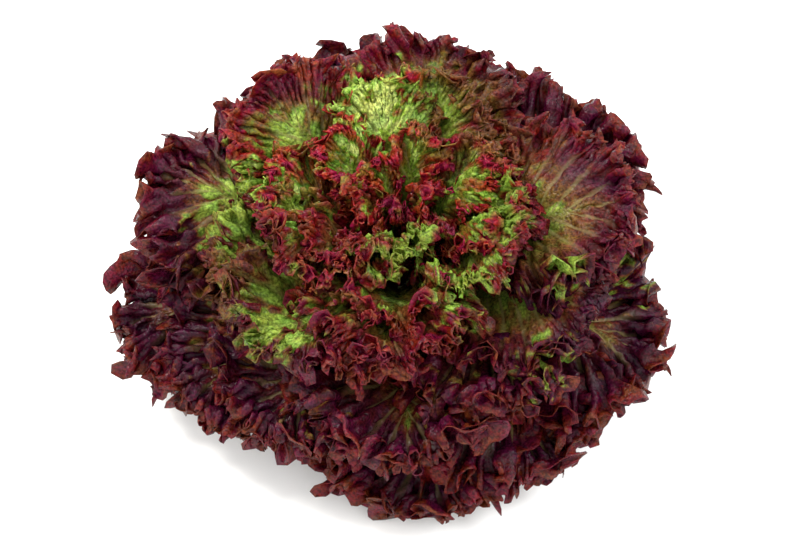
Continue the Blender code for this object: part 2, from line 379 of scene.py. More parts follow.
def shell_point(age, azimuth, along, off):
    """A point on the shell of that age: along its two arcs from the stem, then off it along its normal."""
    root_radius, root_height = root_of(age)
    reach = blade_length(age)
    knee = KNEE_AT * reach
    lift = FAR_SIDE_LIFT * max(0.0, 1.0 - age) * np.sin(azimuth)
    steeper = HEART_LEAN * max(0.0, age - 1.0)
    start = mix(LEAN_OLD, LEAN_YOUNG, min(age, 1.0) ** LEAN_EASE) + steeper + RISE + lift
    slow_turn = LOW_BEND * RISE / knee
    quick_turn = mix(RECURVE_OLD, RECURVE_YOUNG, age) / (reach - knee)
    below = np.minimum(along, knee)
    beyond = np.maximum(along - knee, 0.0)
    low_out, low_up = arc(start, slow_turn, below)
    high_out, high_up = arc(start - slow_turn * knee, quick_turn, beyond)
    angle = start - slow_turn * below - quick_turn * beyond
    radius = root_radius + low_out + high_out - off * np.sin(angle)
    height = root_height + low_up + high_up + off * np.cos(angle)
    return np.stack([radius * np.cos(azimuth), radius * np.sin(azimuth), height], axis=-1)


def outline(length, widest, widest_angle, radius):
    """Half of a leaf's outline as (x, y) against the share of the way from the root to the tip."""
    y = length * OUTLINE_SHARES
    fan = np.sin(0.5 * math.pi * np.minimum(OUTLINE_SHARES / FAN_TOP, 1.0))
    above = np.clip((OUTLINE_SHARES - WIDEST_AT) / (1.0 - WIDEST_AT), 0.0, 1.0)
    half_width = np.minimum(widest, widest_angle * radius)
    root_width = np.minimum(ROOT_HALF_WIDTH, half_width)
    x = mix(root_width, half_width, fan) * np.sqrt(1.0 - above**2)
    way = np.concatenate([[0.0], np.cumsum(np.hypot(np.diff(x), np.diff(y)))])
    return way / way[-1], x, y


def meander(phase, swing):
    """(along, across) of a wave whose direction swings by that angle, and its path's length.

    They are power series of Bessel functions, and all three are for a plain length of one radian.
    """
    s2 = swing * swing
    j0 = 1.0 - s2 / 4.0 + s2 * s2 / 64.0 - s2**3 / 2304.0
    j1 = swing * (0.5 - s2 / 16.0 + s2 * s2 / 384.0)
    j2 = s2 * (0.125 - s2 / 96.0 + s2 * s2 / 3072.0)
    return j2 / j0 * np.sin(2.0 * phase), -2.0 * j1 / j0 * np.cos(phase), 1.0 / j0


def unit(vectors):
    """The same directions with length 1."""
    return vectors / np.maximum(np.linalg.norm(vectors, axis=-1, keepdims=True), SHORTEST)


def crumple(s, t, rng, puckers):
    """Uneven puckers that run every way across the blade, mostly between -1 and 1."""
    sunk = np.zeros_like(s)
    for _ in range(puckers):
        turns = rng.uniform(-PUCKERS_ROUND, PUCKERS_ROUND) * s + rng.uniform(*PUCKERS_ACROSS) * t
        sunk += np.sin(2.0 * math.pi * (turns + rng.uniform()))
    return sunk / puckers**0.5


def wander(s, rng, turns):
    """A slow, smooth, repeatable drift along the margin, mostly between -1 and 1."""
    drift = np.zeros_like(s)
    for turn in range(1, turns + 1):
        drift += np.sin(2.0 * math.pi * (turn * s + rng.uniform())) / turns**0.5
    return drift


class Blade:
    """One leaf's blade, worked out on a grid of veins s by steps t from the midrib out."""

    def __init__(self, number, age, waves, columns, nudge):
        self.number = number
        self.age = age
        self.azimuth = FIRST_AZIMUTH + number * GOLDEN_ANGLE + math.radians(nudge)
        self.length = blade_length(age) * LENGTH_NUDGE.get(number, 1.0)
        midrib = shell_point(age, self.azimuth, self.length * OUTLINE_SHARES, 0.0)
        radius = np.hypot(midrib[:, 0], midrib[:, 1])
        widest_angle = WIDEST_ANGLE if age <= 1.0 else HEART_WIDEST_ANGLE
        self.way, self.x, self.y = outline(self.length, WIDEST, widest_angle, radius)
        self.waves = waves
        young = age >= YOUNG_FROM
        self.ruffles = waves * (YOUNG_RUFFLES_PER_FRILL if young else OLD_RUFFLES_PER_FRILL)
        self.curls = self.ruffles * (YOUNG_CURLS_PER_RUFFLE if young else OLD_CURLS_PER_RUFFLE)
        self.columns = columns * 2 ** (len(SHEET_BANDS) - 1)
        self.s_line = np.linspace(0.0, 1.0, self.columns + 1)
        self.s, self.t = np.meshgrid(self.s_line, SHEET_ROWS, indexing="ij")
        self.rise = 1.0 - np.abs(2.0 * self.s - 1.0)
        self.inside = smooth(self.rise, *PLAIN_ROUND)

    def flat(self, s, t):
        """Flattened place (x across, y along) of vein s, 0 to 1 round the margin, at share t of its way."""
        rise = np.clip(1.0 - np.abs(2.0 * s - 1.0), 0.0, 1.0)
        x_margin = np.where(s < 0.5, -1.0, 1.0) * np.interp(rise, self.way, self.x)
        y_margin = np.interp(rise, self.way, self.y)
        return x_margin * t, mix(SPINE_SHARE * self.length * rise**SPINE_EASE, y_margin, t)

    def shaped(self, frills, rng):
        """The grid of points: the blade with its folds, its quilting and three sets of ruffles."""
        s, t = self.s, self.t
        edge = self.on_shell(frills, rng)
        start = OPEN_BLADES.get(self.number, 0.0) - YOUNG_SHIFT * smooth(self.age, *SHIFT_AGES)
        swing = frills.coarse_swing * smooth(t, COARSE_OUT[0] + start, COARSE_OUT[1])
        swing *= smooth(self.rise, *COARSE_FROM_ROOT)
        swing *= CALMER.get(self.number, 1.0) * mix(1.0, YOUNG_CALM, min(self.age, 1.0))
        edge = self.ruffled(edge, self.waves * s + FRILL_PHASE, swing, 0.0)
        turns = self.ruffles * s + RUFFLE_DRIFT * wander(s, rng, turns=7)
        turns += RUFFLE_LEAN * t * wander(s, rng, turns=5)
        swing = frills.middle_swing * smooth(t, MIDDLE_OUT[0] + start, MIDDLE_OUT[1] + start)
        swing *= smooth(self.rise, *MIDDLE_FROM_ROOT)
        uneven = crumple(UNEVEN_ROUND * s, UNEVEN_ACROSS * t, rng, puckers=5)
        swing *= np.maximum(1.0 + UNEVEN_SWING * uneven, LEAST_SWING)
        edge = self.ruffled(edge, turns, swing, frills.scallop)
        roll = frills.roll * mix(1.0, YOUNG_ROLL, self.age)
        roll = roll * np.clip(wander(s, rng, turns=19), -WIDEST_ROLL, WIDEST_ROLL)
        edge = self.rolled(edge, roll * self.inside)
        turns = self.curls * s + CURL_DRIFT * wander(s, rng, turns=17)
        turns += CURL_LEAN * t * wander(s, rng, turns=11)
        swing = frills.fine_swing * smooth(t, *FINE_OUT) * smooth(self.rise, *FINE_FROM_ROOT)
        place = self.ruffled(edge, turns, swing, frills.scallop)[0]
        return self.limp(self.toothed(place, frills.tooth_depth))

    def on_shell(self, frills, rng):
        """(places, directions along and across, length per s) of the blade on its shell, with no ruffle."""
        s, t = self.s, self.t
        lobes = np.cos(2.0 * math.pi * LOBES_PER_FRILL * self.waves * s)
        reach = 1.0 + LOBE_SHARE * smooth(t, *LOBES_OUT) * self.inside * lobes
        x, y = self.flat(s, t * reach)
        middle = shell_point(self.age, self.azimuth, y, 0.0)
        azimuth = self.azimuth + x / np.hypot(middle[..., 0], middle[..., 1])
        plain = shell_point(self.age, azimuth, y, 0.0)
        along = np.gradient(plain, self.s_line, axis=0)
        length = np.linalg.norm(along, axis=-1)
        along = unit(along)
        across = unit(np.cross(along, np.gradient(plain, SHEET_ROWS, axis=1)))
        off = FOLD_HEIGHT * np.sin(FOLDS_ROUND * azimuth) * smooth(y, *FOLD_FROM_TO)
        quilt = np.abs(np.sin(math.pi * self.waves * VEINS_PER_FRILL * s))
        rows = np.sin(2.0 * math.pi * (QUILT_ROWS * t + QUILT_DRIFT * wander(s, rng, turns=9)))
        quilt *= 1.0 - QUILT_DEPTH + QUILT_DEPTH * rows
        off += frills.quilt_height * quilt * smooth(t, *QUILT_OUT) * self.inside
        puckers = crumple(s, t, rng, puckers=10)
        puckers *= smooth(t, *PUCKERS_OUT) * smooth(self.rise, *PUCKERS_FROM_ROOT)
        off += frills.crumple_height * puckers
        return shell_point(self.age, azimuth, y, off), along, across, length

    def ruffled(self, edge, turns, swing, scallop):
        """The same four values of an edge, with one more set of meander waves laid over it."""
        place, along, across, length = edge
        waves = np.gradient(turns, 1.0 / self.columns, axis=0)
        fewest, most = WAVE_SPREAD
        waves = np.clip(waves, fewest * waves.mean(), most * waves.mean())
        swing = np.clip(swing, 0.0, STEEPEST_SWING)
        phase = 2.0 * math.pi * turns
        shift, wave, stretch = meander(phase, swing)
        size = (length / (2.0 * math.pi * waves))[..., None]
        outwards = np.cross(across, along)
        place = place + size * (along * shift[..., None] + (across + scallop * outwards) * wave[..., None])
        turned = (swing * np.sin(phase))[..., None]
        ahead = np.cos(turned) * along + np.sin(turned) * across
        aside = np.cos(turned) * across - np.sin(turned) * along
        return place, ahead, aside, length * stretch

    def rolled(self, edge, bend):
        """The same four values of an edge, with the margin rolled up or down by the bend, as a lip."""
        place, along, across, length = edge
        lip = np.maximum(self.t - ROLL_FROM, 0.0) * WIDEST
        bend = np.where(np.abs(bend) < FLATTEST_ROLL, FLATTEST_ROLL, bend) * smooth(self.t, ROLL_FROM, 1.0)
        # short of the lip the bend has no effect, and it only must not be zero
        bend = np.where(lip > 0.0, bend, FLATTEST_ROLL)
        outwards = np.cross(across, along)
        back = (lip * (np.sin(bend) / bend - 1.0))[..., None]
        up = (lip * (1.0 - np.cos(bend)) / bend)[..., None]
        return place + outwards * back + across * up, along, across, length

    def toothed(self, place, depth):
        """The grid with teeth along its margin, cut in as far as they stand out."""
        out = unit(place[:, -1] - place[:, -2])
        teeth = 2.0 * np.abs(2.0 * np.mod(self.s_line * self.curls * TEETH_PER_CURL, 1.0) - 1.0) - 1.0
        place[:, -1] += out * (0.5 * depth * teeth * self.inside[:, -1])[:, None]
        return place

    def limp(self, place):
        """The grid with what is near or below the surface eased onto it, so that nothing goes through."""
        depth = LIMP_BELOW - FLOOR_GAP
        height = place[..., 2]
        eased = FLOOR_GAP + depth * np.exp(np.minimum(height - LIMP_BELOW, 0.0) / depth)
        place[..., 2] = np.where(height < LIMP_BELOW, eased, height)
        return place


def deselect_all():
    bpy.ops.object.select_all(action="DESELECT")


def make_active(obj):
    deselect_all()
    obj.select_set(True)
    bpy.context.view_layer.objects.active = obj


def read_places(mesh):
    """The places of a mesh's points, one in a row."""
    places = np.empty(len(mesh.vertices) * 3)
    mesh.vertices.foreach_get("co", places)
    return places.reshape(-1, 3)


def mark_points(mesh, s, t, green, youth_and_shade):
    """Stores on each point what its material reads: its place on the blade, its green, and its youth with the
    painted shade of the near side.
    """
    marks = mesh.attributes.new("blade", "FLOAT_VECTOR", "POINT")
    marks.data.foreach_set("vector", np.stack([s, t, green], axis=-1).ravel())
    mesh.attributes.new("youth_and_shade", "FLOAT", "POINT").data.foreach_set("value", youth_and_shade)


def flat_sheet(name, columns):
    """A flat sheet, s along X and t along Y, whose columns double from band to band towards the margin."""
    rows = len(SHEET_ROWS)
    bpy.ops.mesh.primitive_grid_add(x_subdivisions=columns, y_subdivisions=rows - 1, size=1.0)
    sheet = bpy.context.object
    sheet.name = name
    mesh = sheet.data
    place = read_places(mesh)
    place[:, 0] += 0.5
    place[:, 1] = SHEET_ROWS[np.rint((place[:, 1] + 0.5) * (rows - 1)).astype(int)]
    mesh.vertices.foreach_set("co", place.ravel())
    bpy.context.tool_settings.mesh_select_mode = (False, True, False)
    for band in SHEET_BANDS[1:]:
        bpy.ops.object.mode_set(mode="EDIT")
        bpy.ops.mesh.select_all(action="DESELECT")
        bpy.ops.object.mode_set(mode="OBJECT")
        ends = np.empty(len(mesh.edges) * 2, dtype=int)
        mesh.edges.foreach_get("vertices", ends)
        row = read_places(mesh)[:, 1][ends.reshape(-1, 2)]
        chosen = (np.abs(row[:, 0] - row[:, 1]) < SAME_ROW) & (row[:, 0] > band[0] - SAME_ROW)
        mesh.edges.foreach_set("select", chosen)
        bpy.ops.object.mode_set(mode="EDIT")
        bpy.ops.mesh.subdivide(number_cuts=1)
        bpy.ops.object.mode_set(mode="OBJECT")
    bpy.ops.object.mode_set(mode="EDIT")
    bpy.ops.mesh.select_all(action="SELECT")
    bpy.ops.mesh.quads_convert_to_tris()
    bpy.ops.object.mode_set(mode="OBJECT")
    return sheet


def patch_share(places, patches):
    """How strong the patches are at each place in the head: full in their middles, with ragged edges."""
    share = np.zeros(len(places))
    rng = np.random.default_rng(PATCH_SEED)
    ragged = np.zeros(len(places))
    for _ in range(RAGGED_WAVES):
        turned = places @ rng.normal(0.0, RAGGED_FREQUENCY, 3)
        ragged += RAGGED_HEIGHT * np.sin(turned + rng.uniform(0.0, RAGGED_LARGEST_PHASE))
    for middle, radius, strength in patches:
        away = np.linalg.norm(places - np.array(middle), axis=-1) + ragged
        share = np.maximum(share, strength * smooth(1.0 - away / radius, 0.0, PATCH_FADE))
    return share


def youth_and_shade_of(blade, places):
    """0 where a blade is as dark as the outer leaves, 1 where it is as bright as the inner ones, and lowered
    on the near side as painted shade.
    """
    # painted shade: leaves on the near side take more of the darker outer leaves' colour
    painted_side_light = mix(NEAR_SIDE_YOUTH_IN_PAINTED_SHADE, 1.0, smooth(math.sin(blade.azimuth), *NEAR_TO_FAR_SIDE))
    brown = 1.0 - patch_share(places, BROWN_PATCHES)
    outer = 1.0 - OUTER_LOSS * smooth(np.hypot(places[:, 0], places[:, 1]), *OUTER_FROM_TO)
    return smooth(blade.age, *YOUTH_AGES) * painted_side_light * brown * outer


def leaf_piece(name, sheet, blade, frills, rib_thickness, rng):
    """A copy of the sheet, bent onto its blade, welded along the midrib and given its thickness."""
    mesh = sheet.data.copy()
    mesh.name = name
    leaf = bpy.data.objects.new(name, mesh)
    bpy.context.scene.collection.objects.link(leaf)
    flat = read_places(mesh)
    column = np.rint(flat[:, 0] * blade.columns).astype(int)
    row = np.abs(flat[:, 1][:, None] - SHEET_ROWS[None, :]).argmin(axis=1)
    places = blade.shaped(frills, rng)[column, row]
    mesh.vertices.foreach_set("co", places.ravel())
    s, t = blade.s[column, row], blade.t[column, row]
    green = mix(OLD_GREEN, YOUNG_GREEN, min(blade.age, 1.0)) + patch_share(places, GREEN_PATCHES)
    mark_points(mesh, s, t, green, youth_and_shade_of(blade, places))
    rib = leaf.vertex_groups.new(name="rib")
    share = 1.0 - smooth(t, 0.0, RIB_UP_TO)
    for index in np.flatnonzero(share > 0.0):
        rib.add([int(index)], float(share[index]), "REPLACE")
    make_active(leaf)
    bpy.ops.object.mode_set(mode="EDIT")
    bpy.ops.mesh.select_all(action="SELECT")
    bpy.ops.mesh.remove_doubles(threshold=WELD)
    bpy.ops.mesh.normals_make_consistent(inside=False)
    bpy.ops.object.mode_set(mode="OBJECT")
    wall = leaf.modifiers.new("thickness", "SOLIDIFY")
    wall.thickness = rib_thickness
    wall.vertex_group = rib.name
    wall.thickness_vertex_group = frills.margin_thickness / rib_thickness
    wall.offset = 0.0
    bpy.ops.object.modifier_apply(modifier=wall.name)
    bpy.ops.object.shade_smooth()
    return leaf


def add_node(tree, kind, settings=None, values=None, links=None):
    """Adds a node with its settings, its input values and its links from other nodes' outputs."""
    node = tree.nodes.new(kind)
    for key, value in (settings or {}).items():
        setattr(node, key, value)
    for key, value in (values or {}).items():
        node.inputs[key].default_value = value
    for key, output in (links or {}).items():
        tree.links.new(output, node.inputs[key])
    return node


def fill_ramp(ramp, stops):
    """Sets a colour ramp's stops from (place, sRGB hex) pairs."""
    while len(ramp.elements) < len(stops):
        ramp.elements.new(1.0)
    for element, (position, code) in zip(ramp.elements, stops):
        element.position = position
        element.color = (*linear(code), 1.0)


def bare_material(name):
    """A new material and its node tree, with nothing in it."""
    made = bpy.data.materials.new(name)
    made.use_nodes = True
    made.node_tree.nodes.clear()
    return made, made.node_tree


def two_ages(tree, youth_and_shade, place, old, young):
    """The colour between an outer leaf's ramp and an inner leaf's ramp, by the leaf's youth with its painted
    shade.
    """
    tones = []
    for stops in (old, young):
        ramp = add_node(tree, "ShaderNodeValToRGB", {}, {}, {"Fac": place})
        fill_ramp(ramp.color_ramp, stops)
        tones.append(ramp.outputs["Color"])
    blend = {"Factor": youth_and_shade, "A": tones[0], "B": tones[1]}
    return add_node(tree, "ShaderNodeMix", {"data_type": "RGBA"}, {}, blend).outputs["Result"]


def leaf_pigment(tree, place, parts, youth_and_shade, mottle):
    """Green to red across the blade, with a paler rim that is partly painted highlight, by the place on it,
    its green, and its youth with its painted shade.
    """
    # blotches about 15 mm across and mottling about 2 mm across push the colours to and fro
    blotch = add_node(tree, "ShaderNodeTexNoise", {}, {"Scale": 65.0, "Detail": 3.0}, {"Vector": place})
    spread = add_node(
        tree,
        "ShaderNodeMath",
        {"operation": "MULTIPLY_ADD"},
        {1: BLOTCH_PUSH, 2: -0.5 * BLOTCH_PUSH},
        {0: blotch.outputs["Fac"]},
    )
    speck = add_node(
        tree,
        "ShaderNodeMath",
        {"operation": "MULTIPLY_ADD"},
        {1: MOTTLE_PUSH, 2: -0.5 * MOTTLE_PUSH},
        {0: mottle},
    )
    along = parts["Y"]
    for operation, other in (("ADD", spread.outputs[0]), ("ADD", speck.outputs[0]), ("SUBTRACT", parts["Z"])):
        step = add_node(tree, "ShaderNodeMath", {"operation": operation}, {}, {0: along, 1: other})
        along = step.outputs[0]
    # green patches go below 0, so the ramps have room for them: the midrib is at their 0.4
    shown = add_node(
        tree,
        "ShaderNodeMath",
        {"operation": "MULTIPLY_ADD"},
        {1: 1.0 - RAMP_MIDRIB, 2: RAMP_MIDRIB},
        {0: along},
    )
    flesh = two_ages(tree, youth_and_shade, shown.outputs[0], OLD_FLESH, YOUNG_FLESH)
    # the last 3 mm or so is a paler rim, partly the margin's own paler colour and partly a painted highlight
    # on the edges: pink or red brown in stretches about 10 mm long, and yellow green in the green patches
    patch = add_node(tree, "ShaderNodeTexNoise", {}, {"Scale": 95.0, "Detail": 2.0}, {"Vector": place})
    lime = add_node(
        tree, "ShaderNodeMath", {"operation": "ADD"}, {}, {0: patch.outputs["Fac"], 1: parts["Z"]}
    )
    lime = add_node(
        tree, "ShaderNodeMapRange", {}, {"From Min": 0.62, "From Max": 1.1}, {"Value": lime.outputs[0]}
    )
    rim_and_highlight = two_ages(tree, youth_and_shade, lime.outputs["Result"], OLD_RIM_AND_HIGHLIGHT, YOUNG_RIM_AND_HIGHLIGHT)
    brink = add_node(tree, "ShaderNodeMath", {"operation": "ADD"}, {}, {0: parts["Y"], 1: speck.outputs[0]})
    rim_and_highlight_share = add_node(
        tree,
        "ShaderNodeMapRange",
        {},
        {"From Min": 0.95, "From Max": 1.2, "To Max": 0.5},
        {"Value": brink.outputs[0]},
    )
    blend = {"Factor": rim_and_highlight_share.outputs["Result"], "A": flesh, "B": rim_and_highlight}
    return add_node(tree, "ShaderNodeMix", {"data_type": "RGBA"}, {}, blend).outputs["Result"]


def uneven_pigment(tree, place, flesh, blister):
    """The same colour with painted light and shade on its blisters, lighter on their crowns and darker in
    their hollows, and drifting between purple and red brown.
    """
    # painted highlight on the blister crowns and painted shade in their hollows, from the same noise as the
    # bump
    blister_painted_light = add_node(
        tree,
        "ShaderNodeMapRange",
        {},
        {"From Min": 0.36, "From Max": 0.64, "To Min": 0.5, "To Max": 1.5},
        {"Value": blister},
    )
    blister_lit_colour = add_node(
        tree,
        "ShaderNodeVectorMath",
        {"operation": "SCALE"},
        {},
        {0: flesh, "Scale": blister_painted_light.outputs["Result"]},
    )
    # the red pigment drifts over patches about 10 mm across
    drift = add_node(tree, "ShaderNodeTexNoise", {}, {"Scale": 110.0, "Detail": 4.0}, {"Vector": place})
    hue = add_node(
        tree,
        "ShaderNodeMapRange",
        {},
        {"From Min": 0.35, "From Max": 0.65, "To Min": 0.477, "To Max": 0.524},
        {"Value": drift.outputs["Fac"]},
    )
    turned = add_node(
        tree,
        "ShaderNodeHueSaturation",
        {},
        {"Saturation": 1.05},
        {"Hue": hue.outputs["Result"], "Color": blister_lit_colour.outputs["Vector"]},
    )
    return turned.outputs["Color"]


def veined(tree, parts, flesh):
    """The same colour with the side veins: one narrow pale line for each, fading before the frills."""
    veins = FRILL_WAVES * VEINS_PER_FRILL
    turn = add_node(tree, "ShaderNodeMath", {"operation": "MULTIPLY"}, {1: math.pi * veins}, {0: parts["X"]})
    swing = add_node(tree, "ShaderNodeMath", {"operation": "COSINE"}, {}, {0: turn.outputs[0]})
    sharp = add_node(tree, "ShaderNodeMath", {"operation": "ABSOLUTE"}, {}, {0: swing.outputs[0]})
    line = add_node(
        tree, "ShaderNodeMapRange", {}, {"From Min": 0.90, "From Max": 1.0}, {"Value": sharp.outputs[0]}
    )
    fade = add_node(
        tree,
        "ShaderNodeMapRange",
        {},
        {"From Min": 0.15, "From Max": 0.75, "To Min": 0.65, "To Max": 0.0},
        {"Value": parts["Y"]},
    )
    vein = add_node(
        tree,
        "ShaderNodeMath",
        {"operation": "MULTIPLY"},
        {},
        {0: line.outputs["Result"], 1: fade.outputs["Result"]},
    )
    blend = {"Factor": vein.outputs[0], "A": flesh}
    tone = {"B": (*linear(VEIN_TONE), 1.0)}
    return add_node(tree, "ShaderNodeMix", {"data_type": "RGBA"}, tone, blend).outputs["Result"]


def waxy_leaf():
    """Lettuce leaf: thin wet flesh under an unevenly glossy waxy skin, with light showing through."""
    made, tree = bare_material("waxy_lettuce_leaf")
    place = add_node(tree, "ShaderNodeTexCoord").outputs["Object"]
    marks = add_node(tree, "ShaderNodeAttribute", {"attribute_name": "blade"}).outputs["Vector"]
    parts = add_node(tree, "ShaderNodeSeparateXYZ", links={"Vector": marks}).outputs
    youth_and_shade = add_node(tree, "ShaderNodeAttribute", {"attribute_name": "youth_and_shade"}).outputs["Fac"]
    # mottling about 2 mm across, and blisters about 1.5 mm across, whose colour also carries painted light
    # and shade
    mottle = add_node(tree, "ShaderNodeTexNoise", {}, {"Scale": 420.0, "Detail": 4.0}, {"Vector": place})
    blister = add_node(tree, "ShaderNodeTexNoise", {}, {"Scale": 700.0, "Detail": 3.0}, {"Vector": place})
    flesh = leaf_pigment(tree, place, parts, youth_and_shade, mottle.outputs["Fac"])
    flesh = uneven_pigment(tree, place, flesh, blister.outputs["Fac"])
    colour = veined(tree, parts, flesh)
    # cells between the finest veins, about 2.5 mm across, puff up a little
    cells = add_node(
        tree,
        "ShaderNodeTexVoronoi",
        {"feature": "DISTANCE_TO_EDGE"},
        {"Scale": 400.0},
        {"Vector": place},
    )
    puffed = add_node(
        tree,
        "ShaderNodeMath",
        {"operation": "MULTIPLY_ADD"},
        {1: 0.6},
        {0: cells.outputs["Distance"], 2: blister.outputs["Fac"]},
    )
    bump = add_node(
        tree,
        "ShaderNodeBump",
        {},
        {"Strength": 0.8, "Distance": 0.0008},
        {"Height": puffed.outputs[0]},
    )
    gloss = add_node(
        tree,
        "ShaderNodeMapRange",
        {},
        {"To Min": 0.12, "To Max": 0.28},
        {"Value": mottle.outputs["Fac"]},
    )
    skin = add_node(
        tree,
        "ShaderNodeBsdfPrincipled",
        {},
        {"IOR": 1.42, "Specular IOR Level": 0.28},
        {
            "Base Color": colour,
            "Roughness": gloss.outputs["Result"],
            "Normal": bump.outputs["Normal"],
        },
    )
    # light that comes through is the leaf's own colour, warmed by the flesh
    lit = add_node(
        tree,
        "ShaderNodeMix",
        {"data_type": "RGBA", "blend_type": "MULTIPLY"},
        {"Factor": 1.0, "B": (*linear(WARMED_LIGHT), 1.0)},
        {"A": colour},
    )
    through = add_node(
        tree,
        "ShaderNodeBsdfTranslucent",
        {},
        {},
        {"Color": lit.outputs["Result"], "Normal": bump.outputs["Normal"]},
    )
    both = add_node(
        tree,
        "ShaderNodeMixShader",
        {},
        {"Fac": 0.34},
        {1: skin.outputs["BSDF"], 2: through.outputs["BSDF"]},
    )
    add_node(tree, "ShaderNodeOutputMaterial", {}, {}, {"Surface": both.outputs["Shader"]})
    return made


def stem_flesh():
    """Cut lettuce stem: pale wet pith, browned where the air has dried the cut."""
    made, tree = bare_material("stem_flesh")
    place = add_node(tree, "ShaderNodeTexCoord").outputs["Object"]
    height = add_node(tree, "ShaderNodeSeparateXYZ", {}, {}, {"Vector": place}).outputs["Z"]
    # patches about 6 mm across make the edge of the browned part uneven
    patch = add_node(tree, "ShaderNodeTexNoise", {}, {"Scale": 160.0, "Detail": 4.0}, {"Vector": place})
    worn = add_node(
        tree,
        "ShaderNodeMath",
        {"operation": "MULTIPLY_ADD"},
        {1: 0.006},
        {0: patch.outputs["Fac"], 2: height},
    )
    dried = add_node(
        tree,
        "ShaderNodeMapRange",
        {},
        {"From Min": 0.002, "From Max": 0.007},
        {"Value": worn.outputs[0]},
    )
    tone = add_node(tree, "ShaderNodeValToRGB", {}, {}, {"Fac": dried.outputs["Result"]})
    fill_ramp(tone.color_ramp, PITH)
    bump = add_node(
        tree,
        "ShaderNodeBump",
        {},
        {"Strength": 0.4, "Distance": 0.0008},
        {"Height": patch.outputs["Fac"]},
    )
    skin = add_node(
        tree,
        "ShaderNodeBsdfPrincipled",
        {},
        {"Roughness": 0.5, "IOR": 1.42},
        {"Base Color": tone.outputs["Color"], "Normal": bump.outputs["Normal"]},
    )
    add_node(tree, "ShaderNodeOutputMaterial", {}, {}, {"Surface": skin.outputs["BSDF"]})
    return made


def matt_paint(name, colour, roughness):
    """Matt painted board: an even, pale, diffuse surface."""
    made = bpy.data.materials.new(name)
    made.use_nodes = True
    skin = made.node_tree.nodes["Principled BSDF"]
    skin.inputs["Base Color"].default_value = (*colour, 1.0)
    skin.inputs["Roughness"].default_value = roughness
    return made


class FrillSettings(PropertyGroup):
    """Sizes of the blades' frills."""

    coarse_swing: FloatProperty(
        name="Frill swing", description="How far the widest waves turn", default=1.15, subtype="ANGLE"
    )
    middle_swing: FloatProperty(
        name="Ruffle swing", description="How far the ruffles on them turn", default=1.5, subtype="ANGLE"
    )
    fine_swing: FloatProperty(
        name="Curl swing", description="How far the finest curls turn", default=1.5, subtype="ANGLE"
    )
    quilt_height: FloatProperty(
        name="Quilting", description="Rise of the blade between its veins", default=0.0016, unit="LENGTH"
    )
    crumple_height: FloatProperty(
        name="Crumpling", description="Height of the puckers over the blade", default=0.0013, unit="LENGTH"
    )
    scallop: FloatProperty(
        name="Scallops",
        description="How far a ruffle's crest reaches out, as a share of its height",
        default=0.45,
    )
    roll: FloatProperty(
        name="Roll", description="How far the margin rolls over", default=1.0, subtype="ANGLE"
    )
    tooth_depth: FloatProperty(
        name="Tooth depth", description="Depth of the teeth along the margin", default=0.0022, unit="LENGTH"
    )
    margin_thickness: FloatProperty(
        name="Margin thickness", description="Blade thickness at the margin", default=0.0004, unit="LENGTH"
    )
    rib_thickness: FloatProperty(
        name="Rib thickness", description="Blade thickness at the midrib", default=0.0021, unit="LENGTH"
    )


class StageSettings(PropertyGroup):
    """The floor, the lights and the camera."""

    elevation: FloatProperty(
        name="Elevation",
        description="Camera's angle above the floor",
        default=math.radians(55.0),
        subtype="ANGLE",
    )
    distance: FloatProperty(
        name="Distance", description="Camera's distance from the head", default=0.893, unit="LENGTH"
    )
    lens: FloatProperty(name="Lens", description="Focal length in millimetres", default=78.0)
    floor_colour: FloatVectorProperty(
        name="Floor", description="Colour of the floor", default=linear("#f4f3f1"), subtype="COLOR"
    )
    key_power: FloatProperty(
        name="Key light", description="Power of the key light", default=13.0, unit="POWER"
    )
    fill_power: FloatProperty(
        name="Fill light", description="Power of the fill light", default=7.0, unit="POWER"
    )


class LETTUCE_OT_leaves(Operator):
    """Models the large leaves, hides their solids and fills the gaps with the leaves between"""

    bl_idname = "lettuce.leaves"
    bl_label = "Leaves"

    def execute(self, context):
        frills = context.scene.lettuce_frills
        flesh = waxy_leaf()
        sheet = flat_sheet("flat_sheet", SHEET_COLUMNS)
        nudges = np.random.default_rng(NUDGE_SEED)
        for number in range(HEAD_LEAVES):
            name = f"leaf_{number + 1:02d}"
            nudge = AZIMUTH_NUDGE.get(number, 0.0) + nudges.uniform(-LARGEST_TURN, LARGEST_TURN)
            seed = SEEDS.get(number, HEAD_SEED + number)
            leaf = self.grown(f"{name}_blade", number, nudge, seed, sheet, frills)
            leaf.data.materials.append(flesh)
            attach(leaf, "root")
            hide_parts(name)
        for count, number in enumerate(BETWEEN):
            nudge = BETWEEN_TURN + BETWEEN_NUDGE.get(number, 0.0)
            seed = SEEDS.get(number, BETWEEN_SEED + count)
            leaf = self.grown(f"between_leaf_{count + 1:02d}", number, nudge, seed, sheet, frills)
            leaf.data.materials.append(flesh)
            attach(leaf, "root")
        bpy.data.objects.remove(sheet, do_unlink=True)
        return {"FINISHED"}

    def grown(self, name, number, nudge, seed, sheet, frills):
        """The leaf of that number in the order of growth, with random draws from its seed."""
        age = number / (HEAD_LEAVES - 1)
        blade = Blade(number, age, FRILL_WAVES, SHEET_COLUMNS, nudge)
        return leaf_piece(name, sheet, blade, frills, frills.rib_thickness, np.random.default_rng(seed))


